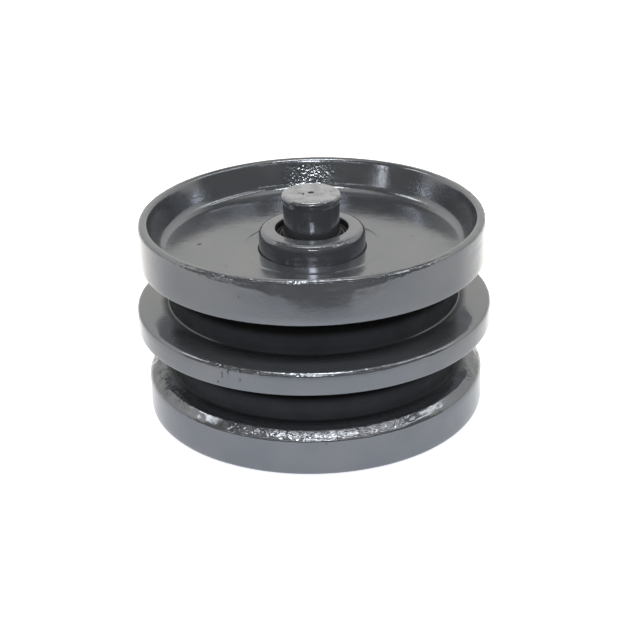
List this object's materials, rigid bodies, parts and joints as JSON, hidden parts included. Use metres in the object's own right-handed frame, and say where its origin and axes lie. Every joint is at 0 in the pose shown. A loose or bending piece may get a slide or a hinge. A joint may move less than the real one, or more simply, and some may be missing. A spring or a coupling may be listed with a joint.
{
  "type": "idler pulley",
  "caption": "Cast idler pulley with belt grooves between plain rims and a dished face, turning on sealed ball bearings around a plain stub shaft.",
  "frame": {"origin": "centre of the bottom rim's lower face, on the pulley's axis", "axes": "+Z along the axis, from the bottom rim towards the stub shaft's free end"},
  "size_m": [0.1888, 0.1888, 0.1171],
  "materials": {
    "grey_enamel": "dark grey gloss enamel over rough iron casting and steel",
    "bearing_steel": "ground bearing steel",
    "spring_steel": "dark phosphated steel",
    "seal_rubber": "matte black nitrile rubber"
  },
  "bodies": {
    "axle": {"shaft": "grey_enamel", "upper_inner_race": "bearing_steel", "lower_inner_race": "bearing_steel", "inner_spacer": "spring_steel", "shaft_circlip": "spring_steel", "support_washer": "spring_steel"},
    "pulley": {"pulley_body": "grey_enamel", "bearing_housing": "grey_enamel", "dust_seal": "seal_rubber", "upper_outer_race": "bearing_steel", "lower_outer_race": "bearing_steel", "upper_bearing_top_shield": "seal_rubber", "upper_bearing_bottom_shield": "seal_rubber", "lower_bearing_top_shield": "seal_rubber", "lower_bearing_bottom_shield": "seal_rubber", "outer_spacer": "spring_steel", "housing_circlip": "spring_steel", "end_cap": "grey_enamel"},
    "upper_ball_set": {"upper_balls": "bearing_steel", "upper_cage": "bearing_steel"},
    "lower_ball_set": {"lower_balls": "bearing_steel", "lower_cage": "bearing_steel"}
  },
  "joints": [
    {"name": "pulley_spin", "type": "hinge", "parent": "axle", "child": "pulley", "pos_m": [0, 0, 0.072], "axis": [0, 0, 1], "continuous": true},
    {"name": "upper_ball_set_spin", "type": "hinge", "parent": "axle", "child": "upper_ball_set", "pos_m": [0, 0, 0.084], "axis": [0, 0, 1], "continuous": true},
    {"name": "lower_ball_set_spin", "type": "hinge", "parent": "axle", "child": "lower_ball_set", "pos_m": [0, 0, 0.06], "axis": [0, 0, 1], "continuous": true}
  ],
  "couplings": [
    {"joint": "upper_ball_set_spin", "follows": "pulley_spin", "ratio": 0.5882},
    {"joint": "lower_ball_set_spin", "follows": "pulley_spin", "ratio": 0.5882}
  ]
}
